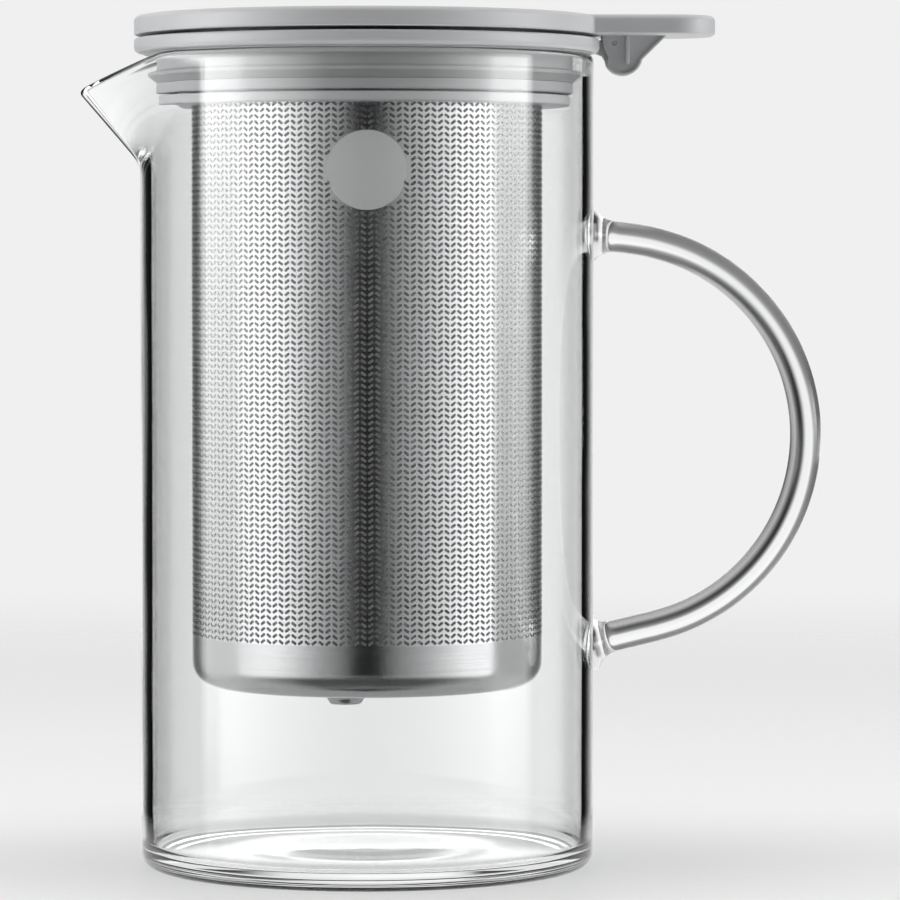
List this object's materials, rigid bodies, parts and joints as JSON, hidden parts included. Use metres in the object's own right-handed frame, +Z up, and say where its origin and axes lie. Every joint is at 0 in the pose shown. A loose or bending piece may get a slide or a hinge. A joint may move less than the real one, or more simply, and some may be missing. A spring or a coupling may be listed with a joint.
{
  "type": "fruit infuser pitcher",
  "caption": "Straight-sided glass pitcher with a pouring spout, a rod handle, a thumb-tab flip lid on a lift-out collar, and a slotted steel infuser basket that twists into the collar.",
  "frame": {"origin": "middle of the flat base, on the axis of the glass", "axes": "+Z up along the glass, +X towards the handle and the thumb tab, -X towards the spout"},
  "size_m": [0.1709, 0.1076, 0.1969],
  "materials": {
    "glass": "clear fire-polished borosilicate glass",
    "grey_plastic": "satin light cool grey moulded plastic",
    "silicone": "soft translucent grey silicone",
    "steel": "satin stainless steel"
  },
  "bodies": {
    "pitcher": {"glass_body": "glass", "glass_handle": "glass"},
    "collar": {"collar": "grey_plastic", "neck_seal": "silicone"},
    "lid": {"flip_lid": "grey_plastic", "lid_seal": "silicone", "hinge_pin": "steel"},
    "infuser": {"infuser_ring": "grey_plastic", "infuser_strainer": "steel", "infuser_base": "steel"}
  },
  "joints": [
    {"name": "collar_lift", "type": "slide", "parent": "pitcher", "child": "collar", "axis": [0, 0, 1], "range_m": [0, 0.155]},
    {"name": "lid_flip", "type": "hinge", "parent": "collar", "child": "lid", "pos_m": [0.0596, 0, 0.1879], "axis": [0, 1, 0], "range_deg": [0, 100]},
    {"name": "infuser_twist", "type": "hinge", "parent": "collar", "child": "infuser", "pos_m": [0, 0, 0.1784], "axis": [0, 0, 1], "range_deg": [0, 40]}
  ]
}
